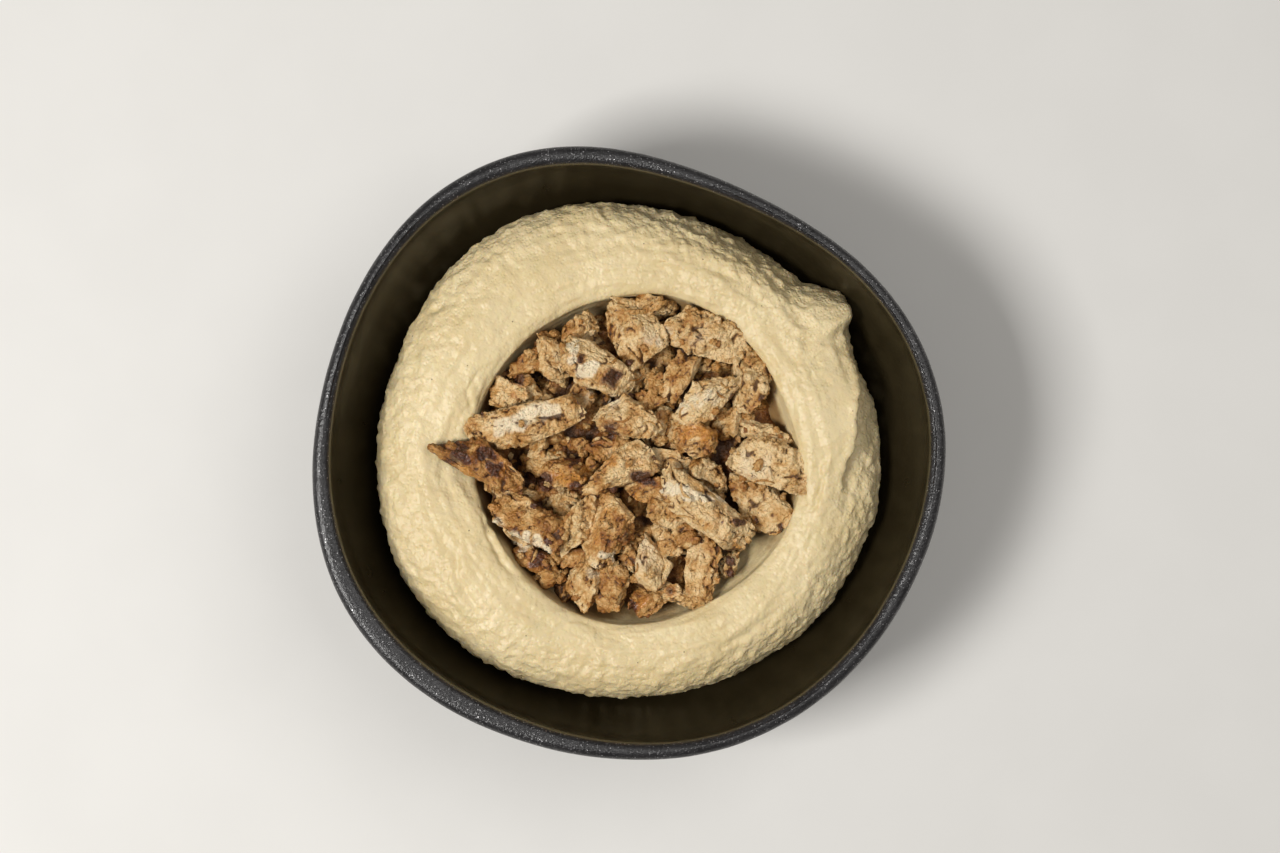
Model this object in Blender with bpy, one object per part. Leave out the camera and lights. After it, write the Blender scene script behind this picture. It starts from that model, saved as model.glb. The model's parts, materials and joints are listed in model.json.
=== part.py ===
"""A deep stoneware bowl of hummus. The hummus is turned into a thick ring with a crater,
and the crater is heaped with chopped, browned chicken.

Metres, +Z up. The origin is under the middle of the bowl, on the surface it stands on.
"""

import math
import random
from collections import namedtuple

import bmesh
import bpy
from mathutils import Euler, Vector

MM = 0.001
GAP = 0.4  # clearance in mm between neighbouring pieces

# The bowl, in mm. Its rim is a soft, hand-formed triangle: a mean radius with three swells.
BOWL_HEIGHT = 62.0
RIM_RADIUS = 94.0
RIM_SWELLS = ((2, 2.3, -20.0), (3, 1.8, -5.0), (4, 1.7, 24.0))  # lobes, swell, direction
RIM_SHIFT = (-1.75, -1.05)  # puts the middle of the rim's box over the origin
RIM_WIDTH = 5.2
RIM_ROLL = 2.6  # how far the rim's rounded top reaches down its sides
FOOT_RADIUS = 50.0
FOOT_HEIGHT = 3.5
FOOT_RECESS_RADIUS = 42.0
FOOT_RECESS = 1.6
BELLY_START = 55.0
WELL_RADIUS = 48.0
WELL_FLOOR = 9.5
TURN_STEPS = 48
WALL_STEPS = 7  # points on each quarter-turn side of the bowl

# The hummus, in mm.
RING_OUTER = 77.4
RING_OUTER_HEIGHT = 33.0
RING_CREST = 60.5
RING_CREST_HEIGHT = 46.5
CRATER_LIP = 50.6
CRATER_LIP_HEIGHT = 43.6
CRATER_FOOT = 41.0
CRATER_FLOOR = 23.0
CRATER_CENTRE = (2.3, -2.0)
CONTACT_STEPS = 2  # how many of the wall's points the hummus lies on
FOLD_START, FOLD_END = -16.0, 36.0  # degrees: where the last turn of the spoon ends
FOLD_DROP = 4.0

# The chopped chicken under the visible pieces, in mm.
BED_RADIUS = 44.0
BED_CLEARANCE = 1.2  # to the crater's wall
BED_EDGE_HEIGHT = 33.0
BED_TOP = 38.0

CHUNK_GROWTH = 1.4  # every lump starts this much larger, and its neighbours trim it
WALL_MARGIN = 1.5  # mm between the crater's wall and the pieces trimmed to it
SMALLEST_EDGE = 1.3  # mm: shorter edges of a trimmed lump are merged away
CHUNK_CREASE = 0.29  # how much of an edge the rounding leaves

Chunk = namedtuple("Chunk", "kind x y z length width thickness yaw tilt")

# Every visible piece of chicken: middle, size in mm, turn seen from above and end-to-end tilt.
CHUNKS = (
    Chunk("pale", -8.9, 25.2, 46.0, 22, 14, 10, -32, 4),
    Chunk("pale", -30.9, 10.1, 45.0, 31, 10.5, 10, 12, -4),
    Chunk("pale", 24.8, -19.9, 46.0, 31, 14.5, 10, -38, 5),
    Chunk("pale", 38.9, -2.1, 43.5, 26, 11.5, 10, -20, -6),
    Chunk("charred", -44.5, -3.8, 48.2, 27, 13, 7, -16, 4),
    Chunk("browned", -34.6, -21.3, 44.0, 25, 13.5, 10, -22, -8),
    Chunk("tan", -4.6, -6.3, 47.0, 21, 10.5, 10, 22, 6),
    Chunk("charred", -19.6, -8.3, 44.0, 20, 14, 10, -20, 0),
    Chunk("browned", -5.2, -23.0, 45.0, 24, 13, 11, 62, 0),
    Chunk("tan", 2.4, 34.6, 43.5, 22, 16, 12, -62, 6),
    Chunk("tan", 22.3, 33.3, 42.5, 19, 12.5, 11, -12, 0),
    Chunk("tan", 34.4, 19.9, 43.5, 22, 13, 11, 55, 0),
    Chunk("pale", 22.6, 15.6, 45.0, 20, 9, 9, 15, -5),
    Chunk("tan", -0.6, 12.3, 45.0, 17, 15, 10, -60, 0),
    Chunk("charred", 20.8, 4.4, 44.5, 14.5, 10.5, 10, -5, 0),
    Chunk("tan", 15.0, -3.4, 42.5, 14, 12, 10, -60, 0),
    Chunk("pale", 6.8, -33.2, 43.0, 20, 9.5, 9, 65, 5),
    Chunk("browned", 15.9, 23.2, 43.0, 13, 11, 10, 80, 0),
    Chunk("pale", -17.4, -23.8, 44.0, 18, 8.5, 10, 76, 4),
    Chunk("tan", -14.1, -38.6, 40.5, 17, 14, 10, -20, 0),
    Chunk("browned", 22.3, -35.9, 41.5, 18, 10, 10, 78, 0),
    Chunk("browned", 39.0, -14.8, 40.0, 20, 10, 9, -42, 0),
    Chunk("tan", 36.5, 7.2, 41.0, 19, 9, 9, -10, 0),
    Chunk("tan", 5.1, 43.2, 40.5, 18, 7.5, 8, 5, 0),
    Chunk("pale", -23.9, 27.2, 42.0, 19, 7.5, 9, -55, 0),
    Chunk("tan", -15.7, 38.5, 40.0, 11, 8, 8, 80, 0),
    Chunk("browned", -25.0, 36.0, 39.5, 12, 9, 8, 40, 0),
    Chunk("browned", -34.0, 23.9, 39.5, 12, 9, 8, 60, 0),
    Chunk("browned", -17.5, 17.0, 42.0, 12, 9, 9, 30, 0),
    Chunk("tan", -36.3, 17.4, 40.5, 13, 8, 8, -10, 0),
    Chunk("charred", -7.6, 4.2, 44.0, 11, 8.5, 9, -10, 0),
    Chunk("browned", 7.2, 20.5, 41.5, 13, 5.5, 9, 88, 0),
    Chunk("browned", 9.6, 8.4, 42.0, 11, 6, 9, 85, 0),
    Chunk("charred", 5.4, -11.8, 43.0, 15, 6, 8, 12, 0),
    Chunk("browned", 11.7, -19.4, 43.0, 11, 9, 9, 20, 0),
    Chunk("tan", 14.6, -28.0, 41.0, 10, 8, 8, 60, 0),
    Chunk("charred", -28.0, -32.6, 39.0, 10, 7, 7, -12, 0),
    Chunk("tan", 32.3, 31.6, 40.0, 10, 7, 8, -50, 0),
    Chunk("tan", 30.6, -34.4, 39.0, 9, 7, 7, 10, 0),
    Chunk("browned", -3.4, -40.6, 41.0, 15, 8.5, 9, 80, 0),
    Chunk("charred", 7.4, -44.6, 40.0, 15, 9.5, 9, -18, 0),
    Chunk("browned", -39.4, -11.5, 40.5, 14, 8, 8, -60, 0),
    Chunk("tan", 23.6, -8.6, 40.5, 12, 7, 8, -20, 0),
)
LIP_RESTING = (4,)  # pieces that lie on the hummus itself and are not trimmed to the crater

COLOURS = {
    "stoneware": ((0.035, 0.033, 0.04, 1), 0.45, 0.3),
    "hummus": ((0.78, 0.62, 0.37, 1), 0.55, 0.0),
    "chicken_bed": ((0.16, 0.09, 0.04, 1), 0.6, 0.0),
    "chicken_pale": ((0.70, 0.52, 0.33, 1), 0.55, 0.0),
    "chicken_tan": ((0.56, 0.37, 0.20, 1), 0.6, 0.0),
    "chicken_browned": ((0.42, 0.22, 0.09, 1), 0.55, 0.0),
    "chicken_charred": ((0.20, 0.07, 0.025, 1), 0.5, 0.0),
}


def material(name):
    """The Principled material of that name: its colour, roughness and metallic value."""
    made = bpy.data.materials.get(name)
    if made is None:
        colour, roughness, metallic = COLOURS[name]
        made = bpy.data.materials.new(name)
        made.use_nodes = True
        shader = made.node_tree.nodes["Principled BSDF"]
        shader.inputs["Base Color"].default_value = colour
        shader.inputs["Roughness"].default_value = roughness
        shader.inputs["Metallic"].default_value = metallic
    return made


def add_object(name, mesh_in_mm, finish, location=(0, 0, 0)):
    """Turns a bmesh in mm into a named, smooth-shaded object in metres."""
    bmesh.ops.recalc_face_normals(mesh_in_mm, faces=mesh_in_mm.faces)
    bmesh.ops.scale(mesh_in_mm, vec=(MM, MM, MM), verts=mesh_in_mm.verts)
    mesh = bpy.data.meshes.new(name)
    mesh_in_mm.to_mesh(mesh)
    mesh_in_mm.free()
    mesh.materials.append(material(finish))
    mesh.shade_smooth()
    obj = bpy.data.objects.new(name, mesh)
    obj.location = Vector(location) * MM
    bpy.context.scene.collection.objects.link(obj)
    return obj


def spun(section, steps=TURN_STEPS):
    """A closed solid turned from a section of (radius, height) points, both ends on the axis."""
    shape = bmesh.new()
    points = [shape.verts.new((radius, 0, height)) for radius, height in section]
    edges = [shape.edges.new(pair) for pair in zip(points, points[1:])]
    bmesh.ops.spin(
        shape,
        geom=points + edges,
        cent=(0, 0, 0),
        axis=(0, 0, 1),
        angle=math.tau,
        steps=steps,
        use_merge=True,
    )
    bmesh.ops.remove_doubles(shape, verts=shape.verts, dist=0.001)
    return shape


def smooth_step(value, start, end):
    """0 before start, 1 after end, and a soft ramp between them."""
    share = min(1.0, max(0.0, (value - start) / (end - start)))
    return share * share * (3 - 2 * share)


def hump(value, middle, reach):
    """1 at the middle, falling softly to 0 at the given reach on either side."""
    return 1 - smooth_step(abs(value - middle), 0, reach)


def swell(angle):
    """How far the rim's outline stands outside its mean circle in this direction."""
    return sum(
        size * math.cos(lobes * (angle - math.radians(towards)))
        for lobes, size, towards in RIM_SWELLS
    )


def hand_formed(point):
    """Moves a point of the turned bowl to the hand-formed shape: round at the foot, soft
    triangle at the rim."""
    share = smooth_step(point.z, 0, BOWL_HEIGHT)
    angle = math.atan2(point.y, point.x)
    grown = 1 + share * swell(angle) / RIM_RADIUS
    point.x = point.x * grown + share * RIM_SHIFT[0]
    point.y = point.y * grown + share * RIM_SHIFT[1]


def outer_wall(turn):
    """The bowl's outer side, from the belly's start (turn 0) to the rim (a quarter turn)."""
    radius = BELLY_START + (RIM_RADIUS - BELLY_START) * math.sin(turn)
    rise = BOWL_HEIGHT - RIM_ROLL - FOOT_HEIGHT - 1
    return radius, FOOT_HEIGHT + 1 + rise * (1 - math.cos(turn))


def inner_wall(turn):
    """The bowl's inner side, from the well's flat floor (turn 0) to the rim."""
    inner_rim = RIM_RADIUS - RIM_WIDTH
    radius = WELL_RADIUS + (inner_rim - WELL_RADIUS) * math.sin(turn)
    rise = BOWL_HEIGHT - RIM_ROLL - WELL_FLOOR
    return radius, WELL_FLOOR + rise * (1 - math.cos(turn))


def bowl():
    quarter = math.pi / 2 / WALL_STEPS
    foot = [
        (0, FOOT_RECESS),
        (FOOT_RECESS_RADIUS, FOOT_RECESS),
        (FOOT_RECESS_RADIUS + 1.5, 0),
        (FOOT_RADIUS, 0),
        (FOOT_RADIUS + 1, 1),
        (FOOT_RADIUS + 0.6, FOOT_HEIGHT),
    ]
    outside = [outer_wall(quarter * k) for k in range(WALL_STEPS + 1)]
    middle = RIM_RADIUS - RIM_WIDTH / 2
    roll = [
        (middle + RIM_WIDTH / 2 * math.cos(a), BOWL_HEIGHT - RIM_ROLL * (1 - math.sin(a)))
        for a in (math.pi * k / 4 for k in range(1, 4))
    ]
    inside = [inner_wall(quarter * k) for k in range(WALL_STEPS, -1, -1)]
    shape = spun(foot + outside + roll + inside + [(0, WELL_FLOOR)])
    for vert in shape.verts:
        hand_formed(vert.co)
    return add_object("bowl", shape, "stoneware")


def crater_radius(angle, height):
    """The crater's wall: steep on the left, where the lip shades it, and sloping on the right."""
    foot = CRATER_FOOT - 2.5 * math.cos(angle + math.radians(25))
    share = smooth_step(height, CRATER_FLOOR - 4, CRATER_LIP_HEIGHT)
    return foot + (CRATER_LIP - foot) * share + 0.8 * math.cos(4 * angle + 1.0)


def shape_hummus(point):
    """Moves a point of the turned hummus to its spooned shape."""
    pressed = point.copy()
    hand_formed(pressed)
    pressed -= point
    radius, angle = math.hypot(point.x, point.y), math.atan2(point.y, point.x)
    outside = radius > RING_CREST
    degrees = math.degrees(angle)
    above = smooth_step(point.z, RING_OUTER_HEIGHT - 8, RING_OUTER_HEIGHT)
    side = smooth_step(radius, RING_CREST, RING_OUTER)
    crater = 1 - smooth_step(radius, CRATER_LIP, RING_CREST)
    # The outside is pinched beside the spot where the last turn of the spoon was pulled off.
    pulled = 3.2 * hump(degrees, 33, 11) - 0.8 * hump(degrees, 52, 22)
    wave = 0.7 * math.cos(3 * angle + 0.6) - 0.9 * hump(degrees, -75, 40)
    radius += above * side * (pulled + wave)
    if point.z > CRATER_FLOOR + 1 and radius < RING_CREST:
        wall = crater_radius(angle, point.z) - crater_radius(math.pi / 2, point.z)
        radius += crater * wall
    # Outside the fold the surface drops to the turn of hummus underneath.
    share = (degrees - FOLD_START) / (FOLD_END - FOLD_START)
    fold = RING_CREST + 3 + 15 * max(0.0, share) ** 1.4
    inside_fold = hump(share, 0.6, 0.62) * (0 <= share <= 1.15)
    point.z -= above * FOLD_DROP * inside_fold * smooth_step(radius, fold - 1, fold + 3)
    # A dent in the lip holds the charred piece, and the crest is uneven all round.
    away = min(abs(degrees - 184), abs(degrees + 176))
    dent = hump(away, 0, 20) * (1 - smooth_step(radius, CRATER_LIP + 5, RING_CREST + 6))
    point.z += above * (0.6 * math.cos(2 * angle - 0.5) + 0.4 * math.cos(5 * angle))
    point.z -= above * 3.4 * dent
    centred = (above if outside else 1) * (1 - smooth_step(radius, CRATER_LIP, RING_OUTER))
    point.x = radius * math.cos(angle) + centred * CRATER_CENTRE[0] + side * pressed.x
    point.y = radius * math.sin(angle) + centred * CRATER_CENTRE[1] + side * pressed.y


def under_hummus():
    """The (radius, height) points where the hummus lies on the bowl, a gap above its inside."""
    points = [(0, WELL_FLOOR + GAP)]
    for k in range(CONTACT_STEPS + 1):
        turn = math.pi / 2 * k / WALL_STEPS
        radius, height = inner_wall(turn)
        points.append((radius - 1.4 * GAP * math.sin(turn), height + 1.4 * GAP * math.cos(turn)))
    return points


def hummus():
    below = under_hummus()
    contact_radius, contact_height = below[-1]
    swells_to = RING_OUTER - contact_radius
    rises_to = RING_OUTER_HEIGHT - contact_height
    side = [
        (contact_radius + swells_to * math.sin(turn), contact_height + rises_to * share)
        for share, turn in ((k / 3, math.pi / 2 * k / 3) for k in (1, 2, 3))
    ]
    top = [
        (
            RING_CREST + (RING_OUTER - RING_CREST) * math.cos(turn),
            RING_OUTER_HEIGHT + (RING_CREST_HEIGHT - RING_OUTER_HEIGHT) * math.sin(turn),
        )
        for turn in (math.pi / 2 * k / 5 for k in range(1, 6))
    ]
    lip = [((RING_CREST + CRATER_LIP) / 2, RING_CREST_HEIGHT - 0.8)]
    heights = [CRATER_LIP_HEIGHT - (CRATER_LIP_HEIGHT - CRATER_FLOOR - 4) * k / 3 for k in range(4)]
    wall = [(crater_radius(math.pi / 2, height), height) for height in heights]
    floor = [(CRATER_FOOT - 3, CRATER_FLOOR + 0.6), (CRATER_FOOT - 14, CRATER_FLOOR)]
    shape = spun(below + side + top + lip + wall + floor + [(0, CRATER_FLOOR)])
    base = [vert for vert in shape.verts if vert.co.z <= contact_height + 0.01]
    for vert in shape.verts:
        if vert in base:
            hand_formed(vert.co)
        else:
            shape_hummus(vert.co)
    return add_object("hummus", shape, "hummus")


def bed_height(radius):
    return BED_TOP - (BED_TOP - BED_EDGE_HEIGHT) * (radius / BED_RADIUS) ** 2


def bed():
    """The lower part of the chicken heap, seen only in the gaps between the pieces on top."""
    radii = [BED_RADIUS * share for share in (1.0, 0.8, 0.55, 0.3)]
    bottom = CRATER_FLOOR + 1.5
    section = [(0, bottom), (BED_RADIUS * 0.8, bottom), (BED_RADIUS, bottom + 5)]
    section += [(radius, bed_height(radius)) for radius in radii] + [(0, BED_TOP)]
    shape = spun(section, steps=24)
    for vert in shape.verts:
        angle = math.atan2(vert.co.y, vert.co.x)
        lumps = math.cos(7 * angle + vert.co.z) * math.cos(5 * angle - vert.co.z)
        wall = crater_radius(angle, vert.co.z - 3) - BED_CLEARANCE
        spread = (1 - 0.01 * (1 + lumps)) * wall / BED_RADIUS
        vert.co.x = vert.co.x * spread + CRATER_CENTRE[0]
        vert.co.y = vert.co.y * spread + CRATER_CENTRE[1]
        if vert.co.z > bottom + 5:
            vert.co.z -= 0.8 * (1 + lumps)
    return add_object("chicken_bed", shape, "chicken_bed")


def keep_behind(solid, point, normal):
    """Cuts a convex solid by a plane and keeps the side that the normal points away from."""
    if all((vert.co - point).dot(normal) <= 0 for vert in solid.verts):
        return
    geometry = list(solid.verts) + list(solid.edges) + list(solid.faces)
    cut = bmesh.ops.bisect_plane(
        solid, geom=geometry, dist=1e-4, plane_co=point, plane_no=normal, clear_outer=True
    )
    rim = [item for item in cut["geom_cut"] if isinstance(item, bmesh.types.BMEdge)]
    bmesh.ops.contextual_create(solid, geom=rim)


def wrapped(points):
    """The convex solid around some points, with its nearly flat neighbours made one face."""
    solid = bmesh.new()
    corners = [solid.verts.new(point) for point in points]
    bmesh.ops.convex_hull(solid, input=corners)
    loose = [vert for vert in solid.verts if not vert.link_faces]
    bmesh.ops.delete(solid, geom=loose, context="VERTS")
    bmesh.ops.dissolve_limit(
        solid, angle_limit=math.radians(7), verts=solid.verts, edges=solid.edges
    )
    return solid


def rough_lump(chunk, seed):
    """A convex, uneven lump of the chunk's size, in place: an outline, a top and a bottom."""
    chance = random.Random(seed)
    large = chunk.length >= 17
    rings = ((5 if large else 4, 1.0, 0.0), (3 if large else 2, 0.66, 0.42), (2, 0.6, -0.4))
    points = []
    for count, reach, level in rings:
        start = math.tau / count * chance.uniform(0.35, 0.65)
        for k in range(count):
            angle = start + math.tau * (k + chance.uniform(-0.18, 0.18)) / count
            # Blunt ends: a direction between two sides reaches out further than an oval would.
            blunt = max(abs(math.cos(angle)), abs(math.sin(angle))) ** -0.8
            size = CHUNK_GROWTH * reach * blunt * chance.uniform(0.9, 1.06)
            height = level + chance.uniform(-0.12, 0.12)
            x = chunk.length / 2 * size * math.cos(angle)
            y = chunk.width / 2 * size * math.sin(angle)
            points.append(Vector((x, y, chunk.thickness * height)))
    turn = Euler((0, math.radians(chunk.tilt), math.radians(chunk.yaw))).to_matrix()
    middle = Vector((chunk.x, chunk.y, chunk.z))
    return wrapped(middle + turn @ point for point in points)


def seat_in_crater(solid, chunk):
    """Trims a lump to the crater's wall and to the heap that it lies on."""
    centre = Vector((*CRATER_CENTRE, 0))
    for k in range(24):
        angle = math.tau * k / 24
        low, high = CRATER_FLOOR + 6, CRATER_LIP_HEIGHT
        foot = crater_radius(angle, low) - WALL_MARGIN
        lip = crater_radius(angle, high) - WALL_MARGIN
        outwards = Vector((math.cos(angle), math.sin(angle), 0))
        slope = (lip - foot) / (high - low)
        normal = (outwards - Vector((0, 0, slope))).normalized()
        keep_behind(solid, centre + outwards * foot + Vector((0, 0, low)), normal)
    from_centre = Vector((chunk.x, chunk.y, 0)) - centre
    radius = min(from_centre.length, BED_RADIUS)
    steepness = 2 * (BED_TOP - BED_EDGE_HEIGHT) * radius / BED_RADIUS**2
    down = (-from_centre.normalized() * steepness - Vector((0, 0, 1))).normalized()
    keep_behind(solid, Vector((chunk.x, chunk.y, bed_height(radius) + GAP)), down)


def directions():
    """Unit vectors spread over the upper half of a sphere, the level ones included."""
    found = [Vector((0, 0, 1))]
    for level in (0, 18, 36, 54, 72):
        count = max(6, round(24 * math.cos(math.radians(level))))
        for k in range(count):
            turn, up = math.tau * k / count, math.radians(level)
            found.append(
                Vector((math.cos(turn) * math.cos(up), math.sin(turn) * math.cos(up), math.sin(up)))
            )
    return found


def part_from(lower, upper, ways):
    """Trims two lumps that run into each other along the plane that costs them least. The
    lower one gives up most of the shared depth, so that the upper one lies over it."""
    best = None
    for way in ways:
        reach = max(vert.co.dot(way) for vert in lower.verts)
        start = min(vert.co.dot(way) for vert in upper.verts)
        if best is None or reach - start < best[0]:
            best = (reach - start, start, way)
    depth, start, way = best
    if depth <= -GAP:
        return
    level = start + 0.22 * max(depth, 0)
    keep_behind(lower, way * (level - GAP / 2), way)
    keep_behind(upper, way * (level + GAP / 2), -way)


def chicken():
    lumps = [rough_lump(chunk, seed) for seed, chunk in enumerate(CHUNKS)]
    ways = directions()
    for index, chunk in enumerate(CHUNKS):
        if index not in LIP_RESTING:
            seat_in_crater(lumps[index], chunk)
    from_below = sorted(range(len(CHUNKS)), key=lambda index: CHUNKS[index].z)
    for place, lower in enumerate(from_below):
        for upper in from_below[place + 1 :]:
            apart = math.dist(CHUNKS[lower][1:4], CHUNKS[upper][1:4])
            if apart < (CHUNKS[lower].length + CHUNKS[upper].length) * 0.6:
                part_from(lumps[lower], lumps[upper], ways)
    for index, (chunk, lump) in enumerate(zip(CHUNKS, lumps)):
        bmesh.ops.remove_doubles(lump, verts=lump.verts, dist=SMALLEST_EDGE)
        middle = Vector((chunk.x, chunk.y, chunk.z))
        lump = wrapped([vert.co - middle for vert in lump.verts])
        crease = lump.edges.layers.float.new("crease_edge")
        for edge in lump.edges:
            edge[crease] = CHUNK_CREASE
        name = f"chicken_{index + 1:02d}"
        piece = add_object(name, lump, f"chicken_{chunk.kind}", middle)
        rounding = piece.modifiers.new("rounding", "SUBSURF")
        rounding.levels = rounding.render_levels = 1


def main():
    for obj in list(bpy.data.objects):
        bpy.data.objects.remove(obj)
    bowl()
    hummus()
    bed()
    chicken()


main()
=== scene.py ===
"""The looks of a deep stoneware bowl of hummus with chopped, browned chicken in its crater."""

import json
import math
import random

import bmesh
import bpy
import numpy as np
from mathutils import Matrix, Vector, noise
from mathutils.bvhtree import BVHTree


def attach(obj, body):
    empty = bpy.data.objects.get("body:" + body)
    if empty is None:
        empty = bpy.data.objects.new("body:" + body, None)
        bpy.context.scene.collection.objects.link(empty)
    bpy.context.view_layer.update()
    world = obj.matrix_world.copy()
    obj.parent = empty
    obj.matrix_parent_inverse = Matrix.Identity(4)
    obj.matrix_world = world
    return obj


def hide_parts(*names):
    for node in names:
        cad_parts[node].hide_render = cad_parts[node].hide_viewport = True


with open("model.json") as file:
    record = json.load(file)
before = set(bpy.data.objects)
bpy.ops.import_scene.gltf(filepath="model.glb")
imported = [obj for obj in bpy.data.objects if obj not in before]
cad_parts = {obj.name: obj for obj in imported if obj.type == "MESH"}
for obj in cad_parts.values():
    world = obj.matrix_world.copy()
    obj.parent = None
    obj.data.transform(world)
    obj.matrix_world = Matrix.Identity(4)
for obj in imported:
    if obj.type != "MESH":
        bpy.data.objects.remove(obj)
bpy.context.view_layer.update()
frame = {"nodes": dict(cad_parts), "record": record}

MM = 0.001

# The bowl, in mm: the same sizes as its solid.
BOWL_HEIGHT = 62.0
RIM_RADIUS = 94.0
RIM_SWELLS = ((2, 2.3, -20.0), (3, 1.8, -5.0), (4, 1.7, 24.0))  # lobes, swell, direction
RIM_SHIFT = (-1.75, -1.05)
RIM_WIDTH = 5.2
RIM_ROLL = 2.6
FOOT_RADIUS = 50.0
FOOT_HEIGHT = 3.5
FOOT_RECESS_RADIUS = 42.0
FOOT_RECESS = 1.6
BELLY_START = 55.0
WELL_RADIUS = 48.0
WELL_FLOOR = 9.5

# The hummus, in mm: the same sizes as its solid.
RING_OUTER = 77.4
RING_OUTER_HEIGHT = 33.0
RING_CREST = 60.5
RING_CREST_HEIGHT = 46.5
CRATER_LIP = 50.6
CRATER_LIP_HEIGHT = 43.6
CRATER_FOOT = 41.0
CRATER_FLOOR = 23.0
CRATER_CENTRE = (2.3, -2.0)
FOLD_START, FOLD_END = -16.0, 36.0
FOLD_DROP = 4.0

# Creases that the spoon left in the hummus: points in mm, depth and half width in mm.
SPOON_CREASES = (
    (((-53.6, -27.7), (-52.4, -37.0), (-49.0, -45.0), (-43.0, -53.6)), 1.0, 0.9),
    (((-57.0, -34.0), (-54.0, -44.0), (-48.5, -52.0)), 0.7, 0.8),
    (((-45.4, -17.0), (-41.5, -29.0), (-35.0, -38.5)), 0.9, 0.9),
    (((-45.8, 28.0), (-49.0, 18.0), (-50.6, 8.0)), 0.7, 0.8),
    (((-66.0, 38.0), (-58.0, 47.0), (-47.0, 55.0)), 0.6, 1.1),
    (((-30.0, 66.0), (-12.0, 69.0), (8.0, 67.0)), 0.5, 1.2),
    (((2.0, 74.0), (18.0, 70.0), (36.0, 62.0), (52.0, 51.0)), 0.7, 1.1),
    (((14.0, 60.0), (30.0, 55.0), (44.0, 46.0)), 0.5, 1.2),
    (((56.0, 16.0), (60.0, 2.0), (57.0, -16.0), (50.0, -31.0)), 0.8, 1.0),
    (((20.0, -62.0), (34.0, -57.0), (47.0, -47.0)), 0.5, 1.2),
    (((-30.0, -60.0), (-12.0, -66.0), (8.0, -67.0)), 0.5, 1.2),
)

# Where the chicken is scorched: x, y, radius in mm, and how dark.
SCORCHES = (
    (-52, -1, 3, 1), (-51, 1.2, 2.2, 0.9), (-43.5, -0.5, 2.6, 1), (-41, -5, 2.5, 1),
    (-36, -2.5, 1.6, 0.7), (-14, 28.5, 1.7, 0.95), (-5.8, 22.7, 2.8, 0.7), (-6.8, 6, 3.4, 0.75),
    (-17, -2.5, 2.2, 0.95), (-25.3, -9.5, 3, 0.9), (-16.5, -10.5, 2.2, 0.7), (33.5, -21, 1.6, 1.1),
    (27.7, -21.4, 0.7, 1), (-34.2, -23, 1.1, 0.8), (-28.3, -33, 2.8, 0.85), (5.4, -7.5, 2.6, 0.9),
    (2.3, -7, 2, 0.8), (-1.2, -25.5, 1.6, 0.6), (47, -23, 1.3, 0.8), (42, 26.5, 1.6, 0.7),
    (-33.5, 22.5, 2.2, 0.6), (-25, 20.5, 1.5, 0.7), (-33.5, 17.5, 1.8, 0.5), (-44.7, 11.5, 0.9, 1),
    (12.5, -42.7, 1.4, 0.6), (1, -47.2, 2.2, 0.7),
)

# Where it is glazed amber by the pan.
AMBERS = (
    (18.5, 6, 3.2, 1), (22.5, 5.8, 3.6, 1), (26.5, 6, 2.6, 1), (10.5, 10.5, 2.2, 0.9),
    (-4.8, -1.3, 3, 0.6), (2.3, -1.8, 4, 0.5), (-17, -9.5, 3.4, 1), (-13.5, -6.5, 2.5, 0.8),
    (-22, -8, 3.2, 0.7), (-49.8, -6.5, 4, 0.7), (-55, -5.5, 2.2, 0.7), (-38, -3.5, 5, 0.6),
    (26.9, -17.7, 4.5, 0.55), (23.8, -21.8, 3, 0.5), (32, -26, 5, 0.5), (34, -31, 3, 0.8),
    (2.3, -14.6, 2.5, 0.7), (-6.8, -19.7, 4.5, 0.55), (-10, -25.8, 3.5, 0.5),
    (-18.6, -21.7, 2.6, 0.6), (-30.3, -23, 5, 0.45), (-2.8, -38, 3, 0.5), (12.5, -42.2, 3.4, 0.7),
    (-28.3, -33, 3.6, 0.8), (23.8, -37, 2.5, 0.5), (-36.5, 18, 2.6, 0.45), (2.1, -47, 3.6, 0.9),
    (-5.8, 22.7, 4, 0.4), (-7, 5, 4.4, 0.5),
)

# Where the milky inside of the breast shows.
WHITES = (
    (-17, 32, 2.2, 1), (-17, 28.5, 2, 1), (-13.4, 25, 2.2, 0.9), (-11.5, 26.5, 1.6, 1),
    (-40, 6.8, 2.8, 0.75), (-36.5, 8.6, 3, 0.85), (-33, 10, 3.2, 0.9), (-29.5, 11.2, 3.2, 0.9),
    (-26, 12.6, 3, 0.85), (-22.5, 13, 2.6, 0.7), (11.8, -10.8, 2, 1), (14.5, -11, 2.2, 1),
    (17.5, -12, 2.4, 1), (20.5, -13, 2.4, 0.95), (24, -13.2, 2.2, 0.9), (28, -14.2, 2, 0.8),
    (16, 13.8, 2.4, 0.7), (20, 15.2, 2.6, 0.75), (24.5, 16.8, 2.6, 0.75), (28.5, 17.5, 2.2, 0.6),
    (36, -4, 4.5, 0.5), (41, -5.5, 4.5, 0.5), (-43.5, -22.4, 1.6, 1), (-41, -23.4, 1.7, 1),
    (-38, -25, 1.8, 1), (-35, -27, 2, 1), (-32, -28.4, 2.2, 1), (-28.5, -29.3, 2.2, 1),
    (-25.5, -29.8, 1.7, 0.9), (-39.5, -21.6, 1.8, 0.9), (-35.5, -24.6, 1.9, 1),
    (-31.5, -26.4, 1.9, 1), (-27.5, -27.2, 1.8, 0.9), (-8, -31.6, 2.2, 1), (-5, -31.8, 1.6, 0.8),
    (5.5, -29.5, 3.5, 0.5), (5, -34, 3.5, 0.5), (5.5, 36.5, 3.5, 0.5), (9.5, 34, 2.4, 0.6),
    (12, 38, 2, 0.5), (21, 35, 4.5, 0.4), (-13, 17, 3, 0.5), (-5, 15.5, 3.4, 0.6),
    (-11, -37, 2.4, 0.6),
)

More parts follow.
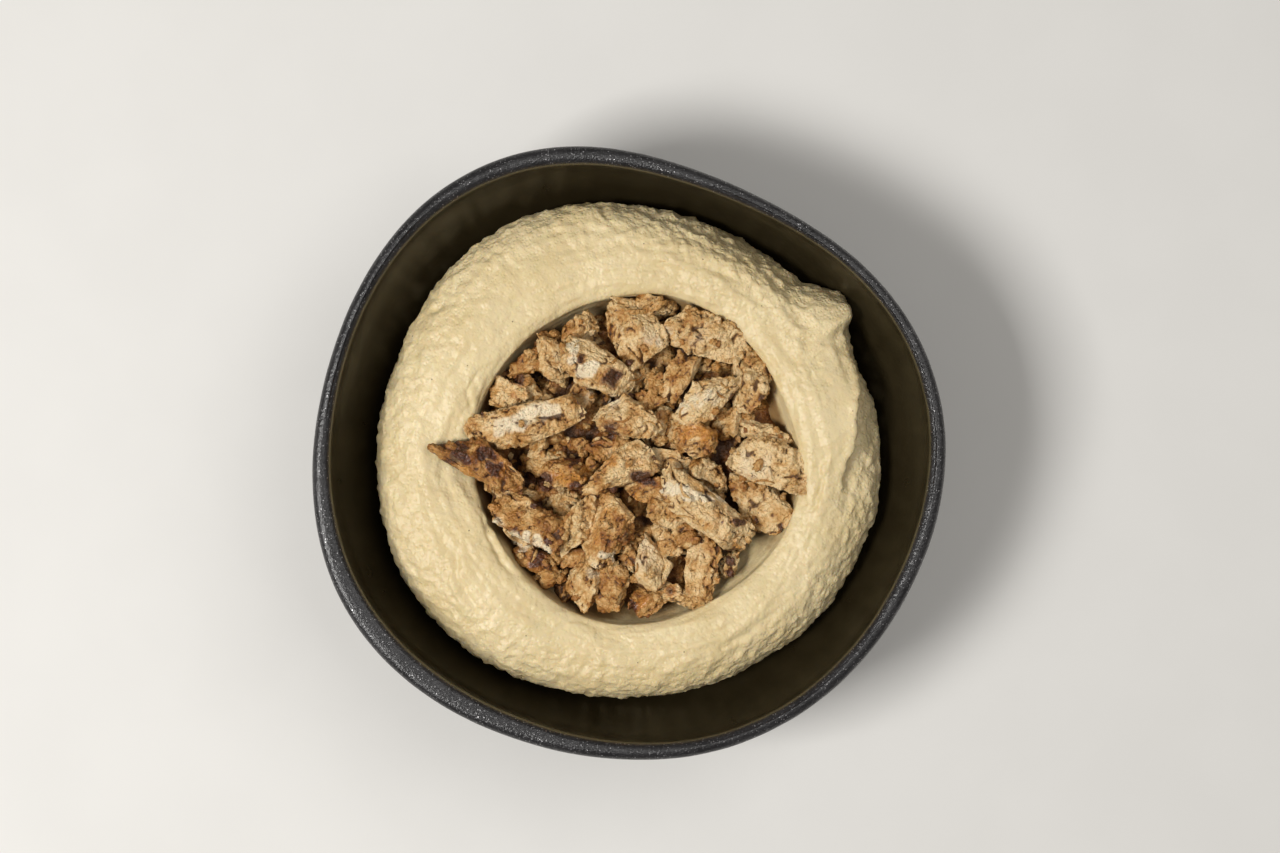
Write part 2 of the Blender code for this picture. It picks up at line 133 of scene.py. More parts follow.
SPOTS = {"scorched": SCORCHES, "amber": AMBERS, "milky": WHITES}

# Each kind of piece: how browned it is, how crumbly its torn sides and how fibrous its cut sides.
KINDS = {
    "pale": (0.0, 0.62, 1.0),
    "tan": (0.09, 1.0, 0.8),
    "browned": (0.2, 1.1, 0.7),
    "charred": (0.29, 0.95, 0.7),
}

BACKDROP = (0.74, 0.735, 0.72)

VOXEL = 0.52  # mm, the finest lump of a chicken piece
BIT_VOXEL = 0.74
HEAP_VOXEL = 0.9
PIECE_GROWTH = 1.27  # knife cuts and tears take this much off again
BIT_SPACING = 6.8
CRUMBS = 190
STRANDS = 46


# ---------------------------------------------------------------- meshes


def smooth_step(value, start, end):
    """0 before start, 1 after end, and a soft ramp between them."""
    share = np.clip((value - start) / (end - start), 0, 1)
    return share * share * (3 - 2 * share)


def hump(value, middle, reach):
    """1 at the middle, falling softly to 0 at the given reach on either side."""
    return 1 - smooth_step(np.abs(value - middle), 0, reach)


def hand_formed(points):
    """How far each point of the turned bowl moves to its hand-formed place, in x and y."""
    share = smooth_step(points[..., 2], 0, BOWL_HEIGHT)
    angle = np.arctan2(points[..., 1], points[..., 0])
    swell = sum(
        size * np.cos(lobes * (angle - math.radians(towards)))
        for lobes, size, towards in RIM_SWELLS
    )
    grown = share * swell / RIM_RADIUS
    return np.stack(
        [
            points[..., 0] * grown + share * RIM_SHIFT[0],
            points[..., 1] * grown + share * RIM_SHIFT[1],
        ],
        axis=-1,
    )


def turned(section, turns):
    """Rings of points, station by turn, from a section of (radius, height) points."""
    section = np.array(section, float)
    angle = np.linspace(0, math.tau, turns, endpoint=False)
    radius = section[:, :1]
    height = np.repeat(section[:, 1:], turns, axis=1)
    return np.stack([radius * np.cos(angle), radius * np.sin(angle), height], axis=-1)


def add_mesh(name, points, faces, layers):
    """A smooth-shaded piece from points in mm; a layer is a number or a place at each point."""
    mesh = bpy.data.meshes.new(name)
    mesh.from_pydata((np.asarray(points) * MM).tolist(), [], faces)
    shape = bmesh.new()
    shape.from_mesh(mesh)
    bmesh.ops.recalc_face_normals(shape, faces=shape.faces)
    shape.to_mesh(mesh)
    shape.free()
    for layer, values in layers.items():
        values = np.asarray(values, np.float32)
        kind, field = ("FLOAT", "value") if values.ndim == 1 else ("FLOAT_VECTOR", "vector")
        mesh.attributes.new(layer, kind, "POINT").data.foreach_set(field, values.ravel())
    mesh.shade_smooth()
    piece = bpy.data.objects.new(name, mesh)
    bpy.context.scene.collection.objects.link(piece)
    return piece


def skinned(name, rings, **layers):
    """A closed piece over rings of points, with its first and last ring drawn to a point."""
    stations, turns, _ = rings.shape
    ends = [rings[0].mean(axis=0), rings[-1].mean(axis=0)]
    points = np.vstack([rings.reshape(-1, 3), ends])
    near = np.arange(stations * turns).reshape(stations, turns)
    beside = np.roll(near, -1, axis=1)
    sides = np.stack([near[:-1], beside[:-1], beside[1:], near[1:]], axis=-1)
    faces = sides.reshape(-1, 4).tolist()
    count = stations * turns
    faces += [[count, beside[0, k], near[0, k]] for k in range(turns)]
    faces += [[count + 1, near[-1, k], beside[-1, k]] for k in range(turns)]
    full = {}
    for layer, values in layers.items():
        flat = np.broadcast_to(values, (stations, turns))
        full[layer] = np.concatenate([flat.ravel(), [flat[0].mean(), flat[-1].mean()]])
    return add_mesh(name, points, faces, full)


def noise_at(points, scale, offset=(0, 0, 0)):
    """Smooth noise between about -1 and 1 at each point, with lumps of about 1 / scale mm."""
    flat = np.asarray(points, float).reshape(-1, 3) * scale + np.asarray(offset, float)
    values = [noise.noise(Vector(point)) for point in flat]
    return np.array(values).reshape(np.asarray(points).shape[:-1])


def lumps_at(points, scale, offset):
    """Rounded lumps from 0 to 1 with sharp seams between them, about 1 / scale mm wide."""
    return np.clip(np.abs(noise_at(points, scale, offset)) * 2.4, 0, 1)


def crease(points, line, width):
    """A soft crease along a line of points, seen from above: a thin valley, raised on its left."""
    nearest = np.full(points.shape[:-1], 1e9)
    side, travelled = np.zeros_like(nearest), np.zeros_like(nearest)
    for k, (start, end) in enumerate(zip(line, line[1:])):
        start, run = np.array(start), np.array(end) - np.array(start)
        offset = points[..., :2] - start
        share = np.clip((offset @ run) / (run @ run), 0, 1)
        across = offset - share[..., None] * run
        gap = np.linalg.norm(across, axis=-1)
        left = np.sign(run[0] * across[..., 1] - run[1] * across[..., 0])
        closer = gap < nearest
        nearest = np.where(closer, gap, nearest)
        side = np.where(closer, left * gap, side)
        travelled = np.where(closer, (k + share) / (len(line) - 1), travelled)
    fading = np.sin(np.pi * np.clip(travelled, 0, 1)) ** 0.7
    valley = np.exp(-((side / width) ** 2))
    raised = np.exp(-(((side - 2.2 * width) / (2.0 * width)) ** 2))
    return fading * (0.6 * raised - valley)


# ---------------------------------------------------------------- materials


class Value:
    """A shader socket that can be added, multiplied and compared like a number."""

    def __init__(self, graph, socket):
        self.graph, self.socket = graph, socket

    def _math(self, operation, other):
        return self.graph.node("Math", {"operation": operation}, {0: self, 1: other})

    def __add__(self, other):
        return self._math("ADD", other)

    __radd__ = __add__

    def __sub__(self, other):
        return self._math("SUBTRACT", other)

    def __rsub__(self, other):
        return self.graph.node("Math", {"operation": "SUBTRACT"}, {0: other, 1: self})

    def __mul__(self, other):
        return self._math("MULTIPLY", other)

    __rmul__ = __mul__

    def __gt__(self, other):
        return self._math("GREATER_THAN", other)

    def __lt__(self, other):
        return self._math("LESS_THAN", other)

    def ramp(self, start, end, low=0.0, high=1.0):
        """Low where this value is under start, high over end, and a soft ramp between."""
        settings = {"interpolation_type": "SMOOTHSTEP", "clamp": True}
        sockets = {0: self, 1: start, 2: end, 3: low, 4: high}
        return self.graph.node("MapRange", settings, sockets)

    def limited(self):
        return self.graph.node("Math", {"operation": "ADD", "use_clamp": True}, {0: self, 1: 0.0})


class Finish:
    """A material being built: a Principled shader and the nodes that feed it."""

    def __init__(self, name):
        self.material = bpy.data.materials.new(name)
        self.material.use_nodes = True
        self.tree = self.material.node_tree
        self.shader = self.tree.nodes["Principled BSDF"]
        self.place = self.node("TexCoord", {}, {}, "Object")

    def node(self, kind, settings, sockets, output=0):
        """A node of that kind with its settings made first, then its sockets; one output."""
        made = self.tree.nodes.new("ShaderNode" + kind)
        for name, value in settings.items():
            if name == "stops":
                self.set_stops(made.color_ramp, value)
            else:
                setattr(made, name, value)
        for name, value in sockets.items():
            self.feed(made.inputs[name], value)
        return Value(self, made.outputs[output])

    @staticmethod
    def set_stops(ramp, stops):
        while len(ramp.elements) < len(stops):
            ramp.elements.new(0.5)
        for element, (position, colour) in zip(ramp.elements, stops):
            element.position = position
            element.color = (*colour, 1)

    def feed(self, socket, value):
        if isinstance(value, Value):
            self.tree.links.new(value.socket, socket)
        elif isinstance(value, tuple) and len(value) == 3 and socket.type == "RGBA":
            socket.default_value = (*value, 1)
        else:
            socket.default_value = value

    def mix(self, share, low, high, blend="MIX"):
        """Colour low where share is 0 and colour high where it is 1."""
        settings = {"data_type": "RGBA", "blend_type": blend}
        return self.node("Mix", settings, {0: share, 6: low, 7: high}, 2)

    def grain(self, size, detail=2.0, stretch=None, roughness=0.5):
        """Noise from 0 to 1 with lumps of about that size in mm."""
        place = self.place if stretch is None else self.stretched(stretch)
        sockets = {"Vector": place, "Scale": 1 / (size * MM), "Detail": detail}
        sockets["Roughness"] = roughness
        return self.node("TexNoise", {}, sockets)

    def stretched(self, factors):
        return self.node("VectorMath", {"operation": "MULTIPLY"}, {0: self.place, 1: factors})

    def cells(self, size, feature="F1", output="Distance", place=None, randomness=1.0):
        """Cells of about that size in mm."""
        sockets = {"Vector": place or self.place, "Scale": 1 / (size * MM)}
        sockets["Randomness"] = randomness
        return self.node("TexVoronoi", {"feature": feature}, sockets, output)

    def picked(self, size, channel):
        """A random number for each cell of that size in mm."""
        return self.node("SeparateColor", {}, {"Color": self.cells(size, output="Color")}, channel)

    def layer(self, name):
        """The number stored at each point of the piece under that name."""
        return self.node("Attribute", {"attribute_name": name}, {}, "Fac")

    def ramp(self, value, *stops):
        return self.node("ValToRGB", {"stops": stops}, {"Fac": value})

    def bump(self, height, depth, under=None):
        """A Bump node of that depth in mm, over another one if given."""
        sockets = {"Height": height, "Distance": depth * MM, "Strength": 1.0}
        if under is not None:
            sockets["Normal"] = under
        return self.node("Bump", {}, sockets)

    def done(self, **sockets):
        """Sets the shader's sockets and gives the material."""
        for name, value in sockets.items():
            self.feed(self.shader.inputs[name.replace("_", " ")], value)
        return self.material


def speckled_charcoal(graph):
    """Colour, roughness, metallic value and bump height of the bare charcoal stoneware."""
    cloud = graph.grain(9, 4)
    fleck = graph.cells(0.62)
    size = graph.picked(0.62, 0).ramp(0.35, 1.0, 0.0, 0.34)
    flecks = (fleck < size).limited() * graph.grain(3.5, 3).ramp(0.36, 0.6)
    fine = graph.grain(0.5, 2).ramp(0.52, 0.68)
    base = graph.mix(cloud.ramp(0.35, 0.68), (0.0065, 0.006, 0.007), (0.0145, 0.0135, 0.015))
    base = graph.mix(fine * 0.5, base, (0.07, 0.067, 0.07))
    base = graph.mix(flecks * 0.9, base, (0.42, 0.41, 0.42))
    rough = 0.25 + cloud * 0.14
    metal = flecks * 0.8 + fine * 0.2
    height = graph.grain(0.7, 3) + cloud * 0.5
    return base, rough, metal, height


def stoneware():
    """Charcoal stoneware with metallic flecks outside, dark olive glaze inside."""
    graph = Finish("charcoal_stoneware")
    base, rough, metal, height = speckled_charcoal(graph)
    inward = graph.layer("inward")
    edge = inward + (graph.grain(7, 3) - 0.5) * 1.6 + 0.6
    glazed = edge.ramp(3.3, 3.9)
    # A lighter olive line just inside the glaze edge: partly the thinner glaze there, partly a painted
    # highlight.
    line = edge.ramp(3.1, 3.7) * (1 - edge.ramp(4.3, 7.0))
    run = graph.grain(6, 3, stretch=(1.0, 1.0, 0.2))
    # Painted shade: the glaze is painted darker down into the well.
    well_shade = inward.ramp(6, 36)
    olive = graph.mix(run.ramp(0.3, 0.72), (0.0225, 0.0165, 0.0065), (0.034, 0.0255, 0.0105))
    olive = graph.mix(well_shade * 0.6, olive, (0.013, 0.0088, 0.0036))
    olive = graph.mix(line * 0.8, olive, (0.088, 0.072, 0.034))
    # Painted reflection: pale flecks lighten the glaze near the top, fading down the wall.
    upper_sheen = (graph.grain(0.9, 2).ramp(0.5, 0.75)) * (1 - inward.ramp(3, 16))
    olive = graph.mix(upper_sheen * 0.25, olive, (0.09, 0.075, 0.04))
    inner_rough = 0.24 + run * 0.12 + line * 0.12
    colour = graph.mix(glazed, base, olive)
    bumped = graph.bump(height * (1 - glazed), 0.24)
    bumped = graph.bump(graph.grain(14, 2) * glazed, 0.3, bumped)
    return graph.done(
        Base_Color=colour,
        Roughness=rough * (1 - glazed) + inner_rough * glazed,
        Metallic=metal * (1 - glazed),
        Normal=bumped,
        Specular_IOR_Level=0.62,
    )


def paste():
    """Hummus: cream chickpea paste, finely grained, with specks and faint olive tints, painted glints
    on its grains, painted shade in its pits, and juice stain with painted shade down the crater's wall.
    """
    graph = Finish("hummus_paste")
    pits = graph.layer("pits")
    coarse = graph.layer("coarse")
    patch = graph.grain(17, 3)
    mottle = graph.grain(3.2, 3)
    sand = graph.grain(0.85, 3, roughness=0.6)
    cream = graph.mix(patch.ramp(0.34, 0.66), (0.69, 0.55, 0.30), (0.745, 0.61, 0.355))
    cream = graph.mix(mottle.ramp(0.5, 0.75) * 0.3, cream, (0.64, 0.495, 0.25))
    # Painted shade: the low pits of the paste are painted darker and browner.
    cream = graph.mix(pits.ramp(0.2, 1.0) * 0.4, cream, (0.50, 0.365, 0.15))
    tint = graph.grain(11, 2).ramp(0.62, 0.8)
    cream = graph.mix(tint * 0.22, cream, (0.50, 0.44, 0.20))
    # Painted highlights: the tops of the fine grains are painted paler, as glints.
    light = graph.cells(1.4).ramp(0.05, 0.26, 1.0, 0.0) * graph.grain(4, 2).ramp(0.45, 0.6)
    cream = graph.mix(light * 0.28, cream, (0.83, 0.72, 0.50))
    speck = (graph.cells(4.6) < 0.052).limited() * (graph.picked(4.6, 1) > 0.72)
    cream = graph.mix(speck * 0.8, cream, (0.12, 0.065, 0.03))
    # Brown juice stain and painted shade together: the crater's wall is painted browner deep down.
    juice_and_shade = (graph.layer("stained") + (mottle - 0.5) * 0.5).ramp(0.15, 0.9)
    cream = graph.mix(juice_and_shade * 0.92, cream, (0.25, 0.135, 0.045))
    height = sand * 0.6 + mottle * 0.5
    bumped = graph.bump(height * (0.3 + coarse * 0.9), 0.25)
    bumped = graph.bump(graph.cells(1.3).ramp(0.0, 0.55) * (0.3 + coarse), 0.11, bumped)
    return graph.done(
        Base_Color=cream,
        Roughness=0.32 + sand * 0.2,
        Normal=bumped,
        Subsurface_Weight=0.25,
        Subsurface_Radius=(0.0035, 0.0022, 0.0009),
        Subsurface_Scale=0.4,
        Specular_IOR_Level=0.5,
    )


def roast(name, oily):
    """Cooked chicken. Stored layers say where it is browned, scorched, amber and milky, and where its
    crevices are browned and painted in shade.
    """
    graph = Finish(name)
    brown, char = graph.layer("browned"), graph.layer("scorched")
    crevice, milky, glaze = graph.layer("crevice"), graph.layer("milky"), graph.layer("amber")
    blotch = graph.grain(3.2, 3)
    fine = graph.grain(0.62, 3, roughness=0.62)
    dust = graph.grain(1.4, 4, roughness=0.65)
    fibre = graph.node("Attribute", {"attribute_name": "fibre"}, {}, "Vector")
    lengthwise = graph.node("VectorMath", {"operation": "MULTIPLY"}, {0: fibre, 1: (0.16, 1.0, 1.0)})
    sockets = {"Vector": lengthwise, "Scale": 1 / (0.75 * MM), "Detail": 3.0, "Roughness": 0.6}
    strands = graph.node("TexNoise", {}, sockets)
    sockets = {"Vector": graph.place, "Scale": 1 / (1.6 * MM), "Detail": 2.0}
    drift = graph.node("TexNoise", {}, sockets, 1)
    drift = graph.node("VectorMath", {"operation": "MULTIPLY"}, {0: drift, 1: (1.1 * MM,) * 3})
    bent = graph.node("VectorMath", {"operation": "ADD"}, {0: graph.place, 1: drift})
    crumb = graph.cells(1.25, place=bent)
    crumblet = graph.cells(0.6, place=bent)
    # Painted shade: the low seams between the crumb bumps are painted darker.
    seam_shade = crumb.ramp(0.3, 0.75) * 0.7 + crumblet.ramp(0.35, 0.8) * 0.3
    tone = brown + (blotch - 0.5) * 0.2 + (dust - 0.5) * 0.32 + (strands - 0.5) * 0.28
    tone = tone + crevice * 0.5 + seam_shade * 0.18 - 0.075
    colour = graph.ramp(
        tone,
        (0.0, (0.80, 0.58, 0.305)),
        (0.16, (0.70, 0.45, 0.195)),
        (0.34, (0.555, 0.30, 0.095)),
        (0.52, (0.42, 0.19, 0.045)),
        (0.72, (0.235, 0.082, 0.014)),
        (1.0, (0.085, 0.026, 0.006)),
    )
    white = (milky + (blotch - 0.5) * 0.7 + (dust - 0.5) * 0.5).ramp(0.2, 0.9)
    colour = graph.mix(white * 0.9, colour, (0.9, 0.76, 0.53))
    caramel = (glaze + (blotch - 0.5) * 0.9 + (dust - 0.5) * 0.4).ramp(0.3, 0.85)
    pan_glaze = graph.mix(dust.ramp(0.35, 0.65), (0.43, 0.15, 0.02), (0.72, 0.33, 0.065))
    colour = graph.mix(caramel * 0.8, colour, pan_glaze)
    scorch = (char + (blotch - 0.5) * 0.6 + (dust - 0.5) * 0.6).ramp(0.24, 0.6)
    ring = (char + (blotch - 0.5) * 0.6).ramp(0.04, 0.24) * (1 - scorch)
    colour = graph.mix(ring * 0.65, colour, (0.3, 0.095, 0.017))
    crust = graph.mix(fine.ramp(0.4, 0.65), (0.045, 0.011, 0.006), (0.13, 0.034, 0.012))
    colour = graph.mix(scorch * 0.94, colour, crust)
    # Painted shade: creviced places are painted a near-black brown.
    colour = graph.mix(crevice.ramp(0.2, 0.75) * 0.88, colour, (0.075, 0.03, 0.009))
    specks = (graph.cells(2.1) < 0.1).limited() * (graph.picked(2.1, 0) > 0.8)
    colour = graph.mix(specks * 0.8, colour, (0.06, 0.032, 0.018))
    shine = (0.15 + scorch * 0.8 + caramel * 1.0) * oily
    bumped = graph.bump(1 - crumb, 0.55)
    bumped = graph.bump(1 - crumblet, 0.22, bumped)
    bumped = graph.bump(dust * 0.6 + strands * 0.7, 0.5, bumped)
    bumped = graph.bump(fine, 0.2, bumped)
    return graph.done(
        Base_Color=colour,
        Roughness=0.45 - scorch * 0.06 - caramel * 0.08 + (fine - 0.5) * 0.2,
        Coat_Weight=shine * 0.25,
        Coat_Roughness=0.22,
        Normal=bumped,
        Subsurface_Weight=0.08,
        Subsurface_Radius=(0.004, 0.0018, 0.001),
        Subsurface_Scale=0.5,
    )


def dress(piece, material, slot, *nodes):
    """Gives a piece its material and its place among the solids."""
    piece.data.materials.clear()
    piece.data.materials.append(material)
    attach(piece, "root")
    if nodes:
        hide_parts(*nodes)
    return piece


# ---------------------------------------------------------------- the bowl


def outer_wall(turn):
    radius = BELLY_START + (RIM_RADIUS - BELLY_START) * math.sin(turn)
    rise = BOWL_HEIGHT - RIM_ROLL - FOOT_HEIGHT - 1
    return radius, FOOT_HEIGHT + 1 + rise * (1 - math.cos(turn))


def inner_wall(turn):
    inner_rim = RIM_RADIUS - RIM_WIDTH
    radius = WELL_RADIUS + (inner_rim - WELL_RADIUS) * math.sin(turn)
    rise = BOWL_HEIGHT - RIM_ROLL - WELL_FLOOR
    return radius, WELL_FLOOR + rise * (1 - math.cos(turn))


def build_bowl():
    turns = [math.pi / 2 * k / 34 for k in range(35)]
    foot = [
        (FOOT_RECESS_RADIUS * 0.5, FOOT_RECESS),
        (FOOT_RECESS_RADIUS, FOOT_RECESS),
        (FOOT_RECESS_RADIUS + 0.6, FOOT_RECESS * 0.4),
        (FOOT_RECESS_RADIUS + 1.7, 0),
        (FOOT_RADIUS - 1.0, 0),
        (FOOT_RADIUS + 0.3, 0.35),
        (FOOT_RADIUS + 0.9, 1.2),
        (FOOT_RADIUS + 0.8, FOOT_HEIGHT * 0.7),
        (FOOT_RADIUS + 1.5, FOOT_HEIGHT + 0.3),
    ]
    middle = RIM_RADIUS - RIM_WIDTH / 2
    roll = [
        (middle + RIM_WIDTH / 2 * math.cos(a), BOWL_HEIGHT - RIM_ROLL * (1 - math.sin(a)))
        for a in (math.pi * k / 18 for k in range(1, 18))
    ]
    outside = foot + [outer_wall(turn) for turn in turns]
    inside = [inner_wall(turn) for turn in reversed(turns)] + [(WELL_RADIUS * 0.5, WELL_FLOOR)]
    section = np.array(outside + roll + inside)
    rings = turned(section, 288)
    steps = np.linalg.norm(np.diff(section, axis=0), axis=1)
    run = np.concatenate([[0], np.cumsum(steps)])
    crown = run[len(outside) + len(roll) // 2]
    inward = np.repeat((run - crown)[:, None], 288, axis=1)
    angle = np.arctan2(rings[..., 1], rings[..., 0])
    shift = hand_formed(rings)
    rings[..., :2] += shift
    # The thrower's fingers left faint rings, and the rim is a little uneven.
    radial = np.stack([np.cos(angle), np.sin(angle)], axis=-1)
    wall = smooth_step(rings[..., 2], 6, 20) * (1 - smooth_step(rings[..., 2], 50, 58))
    ripple = 0.16 * np.sin(rings[..., 2] * 0.85 + 0.9 * np.sin(angle)) * wall
    outside_only = (inward < 0) * 1.0
    rings[..., :2] += radial * (ripple * outside_only)[..., None]
    lump = noise_at(rings, 0.035) * 0.35 + noise_at(rings, 0.15) * 0.1
    standing = smooth_step(rings[..., 2], 4, 12)
    rings[..., :2] += radial * (lump * standing * 0.6 - 0.3 * standing)[..., None]
    # The inner edge of the rim swings in and out, so the rim is wider at the front left.
    wide = 0.9 * np.cos(angle - math.radians(222)) + 0.5 * np.cos(2 * (angle - math.radians(60)))
    wide += 0.7 * np.cos(3 * (angle - math.radians(100)))
    inner_edge = (inward > 0.5) * smooth_step(rings[..., 2], 44, 57)
    rings[..., :2] -= radial * (wide * inner_edge)[..., None]
    return dress(skinned("stoneware_bowl", rings, inward=inward), stoneware(), "stoneware", "bowl")


# ---------------------------------------------------------------- the hummus


def crater_radius(angle, height):
    foot = CRATER_FOOT - 2.5 * np.cos(angle + math.radians(25))
    share = smooth_step(height, CRATER_FLOOR - 4, CRATER_LIP_HEIGHT)
    return foot + (CRATER_LIP - foot) * share + 0.8 * np.cos(4 * angle + 1.0)


def hummus_section():
    """Points of the turned hummus: its underside, its side, its crest and its crater."""
    below = [(24.0, WELL_FLOOR + 0.4)]
    for k in range(9):
        radius, height = inner_wall(math.pi / 2 * 2 / 7 * k / 8)
        below.append((radius - 0.1, height + 0.45))
    contact_radius, contact_height = below[-1]
    side = [
        (
            contact_radius + (RING_OUTER - contact_radius) * math.sin(turn),
            contact_height + (RING_OUTER_HEIGHT - contact_height) * k / 22,
        )
        for k, turn in ((k, math.pi / 2 * k / 22) for k in range(1, 23))
    ]
    top = [
        (
            RING_CREST + (RING_OUTER - RING_CREST) * math.cos(turn),
            RING_OUTER_HEIGHT + (RING_CREST_HEIGHT - RING_OUTER_HEIGHT) * math.sin(turn),
        )
        for turn in (math.pi / 2 * k / 44 for k in range(1, 45))
    ]
    # From the crest the surface rolls over the lip and down the crater's wall.
    depth = RING_CREST_HEIGHT - CRATER_LIP_HEIGHT
    lip = []
    for k in range(1, 23):
        share = k / 22
        fall = depth * (0.45 * share**2 + 0.55 * share**6)
        lip.append((RING_CREST + (CRATER_LIP - RING_CREST) * share, RING_CREST_HEIGHT - fall))
    wall = []
    for k in range(1, 30):
        height = CRATER_LIP_HEIGHT - (CRATER_LIP_HEIGHT - CRATER_FLOOR - 1) * k / 29
        wall.append((float(crater_radius(math.pi / 2, height)), height))
    floor = [(CRATER_FOOT - 4, CRATER_FLOOR + 0.2), (CRATER_FOOT - 20, CRATER_FLOOR)]
    return below, side + top + lip + wall + floor


def spooned(rings, turned_radius):
    """Moves the turned hummus to its spooned shape."""
    pressed = hand_formed(rings)
    radius = np.hypot(rings[..., 0], rings[..., 1])
    angle = np.arctan2(rings[..., 1], rings[..., 0])
    degrees = np.degrees(angle)
    outside = turned_radius > RING_CREST
    above = smooth_step(rings[..., 2], RING_OUTER_HEIGHT - 8, RING_OUTER_HEIGHT)
    side = smooth_step(turned_radius, RING_CREST, RING_OUTER)
    crater = 1 - smooth_step(turned_radius, CRATER_LIP, RING_CREST)
    pulled = 3.2 * hump(degrees, 33, 11) - 0.8 * hump(degrees, 52, 22)
    wave = 0.7 * np.cos(3 * angle + 0.6) - 0.9 * hump(degrees, -75, 40)
    radius = radius + above * side * (pulled + wave)
    wall = crater_radius(angle, rings[..., 2]) - crater_radius(math.pi / 2, rings[..., 2])
    in_crater = (turned_radius < RING_CREST) & (rings[..., 2] > CRATER_FLOOR + 0.9)
    radius = radius + crater * wall * in_crater
    share = (degrees - FOLD_START) / (FOLD_END - FOLD_START)
    fold = RING_CREST + 3 + 15 * np.maximum(0, share) ** 1.4
    fold = fold + 0.5 * np.sin(degrees * 0.42) + 0.25 * np.sin(degrees * 1.3)
    strength = hump(share, 0.6, 0.62) * ((share >= 0) & (share <= 1.15))
    drop = smooth_step(radius, fold - 0.2, fold + 0.6)
    bead = hump(radius, fold - 1.5, 2.2)
    height = rings[..., 2] - above * strength * FOLD_DROP * smooth_step(radius, fold - 0.5, fold + 2)
    tongue = smooth_step(degrees, 29, 32) * (1 - smooth_step(degrees, 33, 48))
    tongue = tongue * smooth_step(radius, RING_CREST + 5, RING_OUTER - 1)
    layer = above * (strength * (2.4 + 0.8 * bead - 4.2 * drop) + 4.4 * tongue * (1 - 0.5 * drop))
    smooth = above * strength * hump(radius, fold - 5, 9) * (1 - drop)
    away = np.minimum(np.abs(degrees - 184), np.abs(degrees + 176))
    dent = hump(away, 0, 20) * (1 - smooth_step(radius, CRATER_LIP + 5, RING_CREST + 6))
    height += above * (0.6 * np.cos(2 * angle - 0.5) + 0.4 * np.cos(5 * angle))
    height -= above * 3.4 * dent
    centred = np.where(outside, above, 1.0) * (1 - smooth_step(radius, CRATER_LIP, RING_OUTER))
    x = radius * np.cos(angle) + centred * CRATER_CENTRE[0] + side * pressed[..., 0]
    y = radius * np.sin(angle) + centred * CRATER_CENTRE[1] + side * pressed[..., 1]
    return np.stack([x, y, height], axis=-1), above, layer, smooth


def build_hummus():
    turns = 640
    below, above_part = hummus_section()
    below, upper = turned(below, turns), turned(above_part, turns)
    below[..., :2] += hand_formed(below)
    turned_radius = np.repeat(np.array(above_part)[:, :1], turns, axis=1)
    shaped, above, layer, smooth = spooned(upper, turned_radius)
    angle = np.arctan2(shaped[..., 1], shaped[..., 0])
    radius = np.hypot(shaped[..., 0], shaped[..., 1])
    # Out from the middle of the ring's own thickness.
    out = np.stack([radius - 60, shaped[..., 2] - 30], axis=-1)
    out /= np.linalg.norm(out, axis=-1, keepdims=True) + 1e-9
    # The spoon's strokes wind slowly outwards, so lumps are long that way and short across.
    stroke = np.stack([angle * 60 * 0.16, radius - angle * 2.2, shaped[..., 2]], axis=-1)
    seam = np.stack(
        [np.cos(angle) * 14, np.sin(angle) * 14, (radius - 50) * 1.1 + shaped[..., 2] * 0.9],
        axis=-1,
    )
    right = hump(np.degrees(angle), 42, 75)
    inner = smooth_step(turned_radius, CRATER_LIP - 2, CRATER_LIP + 14)
    rough_share = 0.5 + 0.6 * smooth_step(turned_radius, 60, 75) * inner + 0.5 * right * inner
    crater_wall = (turned_radius <= CRATER_LIP) & (shaped[..., 2] < CRATER_LIP_HEIGHT)
    rough_share = np.where(crater_wall, 0.25, rough_share) * (1 - 0.75 * smooth)
    broad = noise_at(shaped, 0.06)
    strokes = noise_at(seam, 0.22) + 0.5 * noise_at(seam, 0.55, (7, 3, 1))
    lumps = noise_at(shaped, 0.3, (3, 8, 5))
    grains = noise_at(shaped, 0.75, (9, 2, 4))
    # Painted shade mask: where the surface sinks between lumps and grains.
    pits = np.clip(-lumps * 0.9 - grains * 0.7 - 0.1, 0, 1) * rough_share
    pebbles = lumps_at(shaped, 0.5, (6, 1, 7))
    peaks = 1 - lumps_at(shaped, 0.22, (2, 6, 3))
    lift = layer + 0.7 * broad + 0.75 * strokes * (0.5 + 0.5 * rough_share)
    lift += rough_share * (0.5 * lumps + 0.2 * grains + 0.34 * pebbles + 0.48 * peaks * inner)
    lift *= smooth_step(np.arange(len(above_part)), 0, 9)[:, None]
    wobble = np.stack([lumps, noise_at(shaped, 0.16, (1, 9, 4)), 0 * lumps], axis=-1)
    for line, depth, width in SPOON_CREASES:
        lift += depth * crease(shaped + 1.4 * wobble, line, width) * above
    shaped[..., 0] += np.cos(angle) * out[..., 0] * lift
    shaped[..., 1] += np.sin(angle) * out[..., 0] * lift
    shaped[..., 2] += out[..., 1] * lift
    rings = np.concatenate([below, shaped])
    pad = np.zeros(below.shape[:2])
    # Juice stain and painted shade on the crater's wall: browner with depth below the lip, with the lit
    # front-right stretch mostly spared.
    depth = smooth_step(-shaped[..., 2], -43.2, -38.0) * (turned_radius < CRATER_LIP + 1)
    spared = 1 - 0.75 * hump(np.degrees(angle), -45, 34)
    stained = depth * spared * np.clip(0.75 + 0.8 * broad, 0, 1)
    return dress(
        skinned(
            "hummus_ring",
            rings,
            pits=np.concatenate([pad, pits]),
            coarse=np.concatenate([pad, rough_share]),
            stained=np.concatenate([pad, stained]),
        ),
        paste(),
        "hummus",
        "hummus",
    )


# ---------------------------------------------------------------- the chicken


